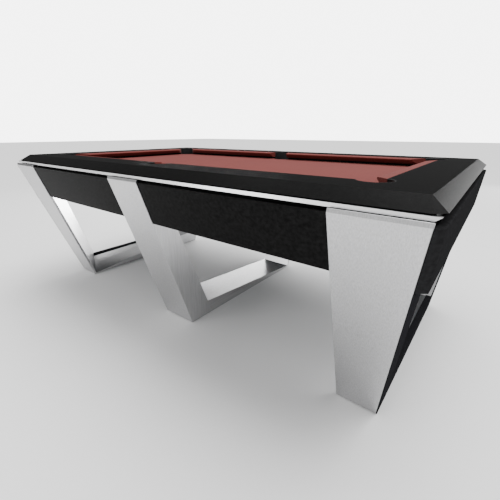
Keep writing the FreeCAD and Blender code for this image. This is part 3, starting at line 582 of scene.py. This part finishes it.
def screw_head(radius, height):
    """Pan head with a cross recess, its underside at z = 0 and its top at z = -height."""
    mesh = bmesh.new()
    dome = ((1.0, 0.0), (1.0, 0.35), (0.86, 0.75), (0.55, 1.0))
    arm, web, recess_depth = 0.72, 0.28, 0.45
    rings = []
    for share, drop in dome:
        rings.append([mesh.verts.new((radius * share * math.cos(math.tau * i / SCREW_SIDES),
                                      radius * share * math.sin(math.tau * i / SCREW_SIDES),
                                      -height * drop))
                      for i in range(SCREW_SIDES)])
    for lower, upper in zip(rings, rings[1:]):
        for i in range(SCREW_SIDES):
            mesh.faces.new((lower[i - 1], lower[i], upper[i], upper[i - 1]))
    recess = []
    for i, vert in enumerate(rings[-1]):
        inward = arm if i % 4 == 0 else web
        recess.append(mesh.verts.new((vert.co.x * inward, vert.co.y * inward,
                                      -height * (1 - recess_depth))))
    for i in range(SCREW_SIDES):
        mesh.faces.new((rings[-1][i - 1], rings[-1][i], recess[i], recess[i - 1]))
    mesh.faces.new(recess)
    mesh.faces.new(rings[0][::-1])
    bmesh.ops.recalc_face_normals(mesh, faces=mesh.faces)
    return mesh


def staple(width, wire, leg):
    """Square wire staple: its crown lies along x and its legs go into the edge along -y."""
    mesh = bmesh.new()
    half = wire / 2
    path = [((-width / 2, -leg), (-1, 0)), ((-width / 2, 0.0), (-1, 1)),
            ((width / 2, 0.0), (1, 1)), ((width / 2, -leg), (1, 0))]
    rings = []
    for (x, y), (out_x, out_y) in path:
        rings.append([mesh.verts.new((x + out_x * out * half, y + out_y * out * half, up * half))
                      for out, up in ((-1, -1), (1, -1), (1, 1), (-1, 1))])
    for near, far in zip(rings, rings[1:]):
        for i in range(4):
            mesh.faces.new((near[i - 1], near[i], far[i], far[i - 1]))
    mesh.faces.new(rings[0])
    mesh.faces.new(rings[-1][::-1])
    bmesh.ops.recalc_face_normals(mesh, faces=mesh.faces)
    return mesh


def repeat_tree(name, pattern, material):
    """Copies of one small part on a circle or on a straight row."""
    tree = bpy.data.node_groups.new(name, "GeometryNodeTree")
    ids = {"Part": group_input(tree, "Part", "NodeSocketObject", None),
           "Count": group_input(tree, "Count", "NodeSocketInt", 4),
           "Start": group_input(tree, "Start", "NodeSocketVector", (0, 0, 0)),
           "Step": group_input(tree, "Step", "NodeSocketVector", (0.06, 0, 0)),
           "Radius": group_input(tree, "Radius", "NodeSocketFloat", 0.06),
           "Turn": group_input(tree, "Turn", "NodeSocketVector", (0, 0, 0))}
    tree.interface.new_socket("Geometry", in_out="OUTPUT", socket_type="NodeSocketGeometry")
    given = add(tree, "NodeGroupInput").outputs
    if pattern == "circle":
        ring = add(tree, "GeometryNodeMeshCircle", {
            "Vertices": given["Count"], "Radius": given["Radius"]})
        points = add(tree, "GeometryNodeTransform", {
            "Geometry": ring.outputs[0], "Translation": given["Start"], "Rotation": given["Turn"]})
    else:
        points = add(tree, "GeometryNodeMeshLine", {
            "Count": given["Count"], "Start Location": given["Start"], "Offset": given["Step"]})
    part = add(tree, "GeometryNodeObjectInfo", {"Object": given["Part"]})
    copies = add(tree, "GeometryNodeInstanceOnPoints", {
        "Points": points.outputs[0], "Instance": part.outputs["Geometry"],
        "Rotation": given["Turn"]})
    real = add(tree, "GeometryNodeRealizeInstances", {"Geometry": copies.outputs[0]})
    done = add(tree, "GeometryNodeSetMaterial", {
        "Geometry": real.outputs[0], "Material": material})
    add(tree, "NodeGroupOutput", {"Geometry": done.outputs[0]})
    return tree, ids


head = new_piece("screw_pattern", screw_head(SCREW_RADIUS, SCREW_HEIGHT), [zinc])
ring_tree, ring_ids = repeat_tree("screws round a flange", "circle", zinc)
screw_circle = flange_radius - 1.6 * SCREW_RADIUS
flange_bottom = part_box("slate_middle")[0][2] - FLANGE
screw_rings = []
for name in cups:
    centre = cup_centre(name)
    screw_rings.append(grown("screws", ring_tree, ring_ids,
                             {"Part": head, "Count": SCREWS,
                              "Start": (centre.x, centre.y, flange_bottom),
                              "Radius": screw_circle, "Turn": (0, 0, math.pi / 4)}))
flange_screws = joined("flange_screws", screw_rings)
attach(flange_screws, "table")

clip = new_piece("staple_pattern", staple(width=10 * MM, wire=0.9 * MM, leg=2.4 * MM), [zinc])
row_tree, row_ids = repeat_tree("staples in a row", "row", zinc)
edge_y = cloth_high[1] + STAPLE_OUT
edge_x = cloth_high[0] + STAPLE_OUT
staple_height = cloth_high[2] - CLOTH_WRAP / 2
long_start = NOTCH + STAPLE_STEP / 2
long_count = int((corner_cup.x - 2 * long_start) / STAPLE_STEP) + 1
end_count = int(2 * (corner_cup.y - NOTCH) / STAPLE_STEP)
end_start = -STAPLE_STEP * (end_count - 1) / 2
staple_rows = []
for right in (-1, 1):
    for back in (-1, 1):
        staple_rows.append(grown("staples", row_tree, row_ids,
                                 {"Part": clip, "Count": long_count,
                                  "Start": (right * long_start, back * edge_y, staple_height),
                                  "Step": (right * STAPLE_STEP, 0, 0),
                                  "Turn": (0, 0, 0 if back > 0 else math.pi)}))
    staple_rows.append(grown("staples", row_tree, row_ids,
                             {"Part": clip, "Count": end_count,
                              "Start": (right * edge_x, end_start, staple_height),
                              "Step": (0, STAPLE_STEP, 0), "Turn": (0, 0, -right * math.pi / 2)}))
cloth_staples = joined("cloth_staples", staple_rows)
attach(cloth_staples, "table")
for pattern in (head, clip):
    bpy.data.objects.remove(pattern)


# ==== Aprons ===================================================================================
# MDF boards in the same black leather-grain skin, closing the space between the leg frames. The
# skin's colour is painted lighter on the long aprons, and lighter still on the end aprons, than on
# the rails: painted light. The end boards have rounded top edges and cut-back corners.

APRON_ARRIS = 0.8 * MM
long_aprons = ["apron_front_left", "apron_front_right", "apron_back_left", "apron_back_right"]
end_aprons = ["apron_left_end", "apron_right_end"]
# Painted light: the long aprons' skin is lighter than the rails' to stand in for light falling on
# it.
dress(long_aprons, textured_black("black leather-grain skin, painted lighter, apron", ("#0D0D0D", "#1A1A1A"),
                                  grain_mm=SKIN_GRAIN, rough=0.36, depth_mm=0.3, shine=0.015))
# Painted light: the end aprons' skin is lighter still and has no gloss, so its tone stands in for
# light falling on it.
dress(end_aprons, textured_black("black leather-grain skin, painted lightest, end apron", ("#1E1E1F", "#29292A"),
                                 grain_mm=SKIN_GRAIN, rough=0.7, depth_mm=0.3, shine=0.0))
soften(long_aprons + end_aprons, APRON_ARRIS)


# ==== Trim strips ==============================================================================
# Clear anodised aluminium extrusions fixed along the lower edge of the long rails. They are
# satin brushed along their length before they are anodised.

def satin_anodised():
    """Clear anodised aluminium: pale, with brush lines 1 mm apart and 250 mm long."""
    made, tree, shader, where = finish_of("anodised aluminium, satin", Metallic=1.0)
    brushed = add(tree, "ShaderNodeMapping", {
        "Vector": where, "Scale": (1 / (250 * MM), 1 / MM, 1 / MM)})
    lines = add(tree, "ShaderNodeTexNoise", {
        "Vector": brushed.outputs[0], "Scale": 1.0, "Detail": 2.0}).outputs["Fac"]
    colour = add(tree, "ShaderNodeMix", {
        "Factor": lines, "A": srgb("#CFCFD0"), "B": srgb("#E2E2E2")}, data_type="RGBA")
    tree.links.new(colour.outputs["Result"], shader.inputs["Base Color"])
    gloss = add(tree, "ShaderNodeMapRange", {"Value": lines, "To Min": 0.2, "To Max": 0.34})
    tree.links.new(gloss.outputs[0], shader.inputs["Roughness"])
    return made


dress(["trim_front", "trim_back"], satin_anodised())


# ==== Studio ===================================================================================
# A pale seamless floor, five soft boxes, a broad sky panel and a white room, which is brighter
# where it is seen past the table than where it lights it. The camera stands off the front right
# corner.

FLOOR_REACH = 40.0           # metres from the middle to each edge


def studio_floor():
    """One square sheet on the ground."""
    mesh = bmesh.new()
    mesh.faces.new([mesh.verts.new((x * FLOOR_REACH, y * FLOOR_REACH, 0.0))
                    for x, y in ((-1, -1), (1, -1), (1, 1), (-1, 1))])
    made = finish_of("pale studio floor", Base_Color=srgb("#F4F4F4"), Roughness=0.9)[0]
    return new_piece("studio_floor", mesh, [made])


def soft_box(name, place, target, size, power):
    """A rectangular area lamp aimed at a point; it lights the table but is not seen itself."""
    lamp = bpy.data.lights.new(name, "AREA")
    lamp.shape = "RECTANGLE"
    lamp.size, lamp.size_y = size
    lamp.energy = power
    holder = bpy.data.objects.new(name, lamp)
    holder.location = place
    holder.rotation_euler = (Vector(target) - Vector(place)).to_track_quat("-Z", "Y").to_euler()
    holder.visible_camera = False
    bpy.context.scene.collection.objects.link(holder)


studio_floor()
soft_box("soft_box_over", (0.0, 0.0, 3.2), (0, 0, 0.8), (3.5, 2.0), 40)
soft_box("soft_box_right", (4.6, 0.6, 3.4), (0.9, 0, 0.8), (2.5, 2.5), 60)
soft_box("soft_box_behind", (2.6, 6.0, 1.2), (1.1, 0, 0.8), (2.0, 1.6), 45)
soft_box("soft_box_front", (-1.6, -3.6, 0.7), (0.4, -0.7, 0.6), (1.6, 1.2), 30)
soft_box("soft_box_low", (-3.4, 3.3, 0.45), (0, 0, 0.1), (3.0, 0.8), 160)
sun = bpy.data.lights.new("sky_panel", "SUN")
sun.energy = 3.2
sun.angle = math.radians(50)
panel = bpy.data.objects.new("sky_panel", sun)
panel.rotation_euler = Vector((0.15, 0.42, 1.0)).to_track_quat("Z", "Y").to_euler()
bpy.context.scene.collection.objects.link(panel)

BACKDROP = 6.0               # strength of the room where it is seen directly
world = bpy.data.worlds.new("studio room")
world.use_nodes = True
room = world.node_tree
room.nodes.clear()
direction = add(room, "ShaderNodeTexCoord").outputs["Generated"]
towards = add(room, "ShaderNodeSeparateXYZ", {0: direction}).outputs
ceiling = add(room, "ShaderNodeMapRange", {
    "Value": towards["Z"], "From Min": 0.1, "From Max": 0.9, "To Min": 0.06, "To Max": 0.9})
front_fill = add(room, "ShaderNodeMapRange", {
    "Value": towards["Y"], "From Min": -0.3, "From Max": -0.95, "To Min": 0.0, "To Max": 0.8})
glow = add(room, "ShaderNodeMath", {0: ceiling.outputs[0], 1: front_fill.outputs[0]},
           operation="ADD")
seen = add(room, "ShaderNodeLightPath").outputs["Is Camera Ray"]
strength = add(room, "ShaderNodeMix", {"Factor": seen, "A": glow.outputs[0], "B": BACKDROP})
wall = add(room, "ShaderNodeBackground", {
    "Color": srgb("#FFFFFF"), "Strength": strength.outputs[0]})
add(room, "ShaderNodeOutputWorld", {"Surface": wall.outputs[0]})
bpy.context.scene.world = world

EYE = (1.2223, -1.4348, 0.9412)
LOOKS_DOWN = 20.27           # degrees below level
TURNED_LEFT = 37.69          # degrees from facing +Y
lens = bpy.data.cameras.new("camera")
lens.sensor_width = 36.0
lens.lens = 22.85
camera = bpy.data.objects.new("camera", lens)
camera.location = EYE
camera.rotation_euler = (math.radians(90 - LOOKS_DOWN), 0.0, math.radians(TURNED_LEFT))
bpy.context.scene.collection.objects.link(camera)
bpy.context.scene.camera = camera
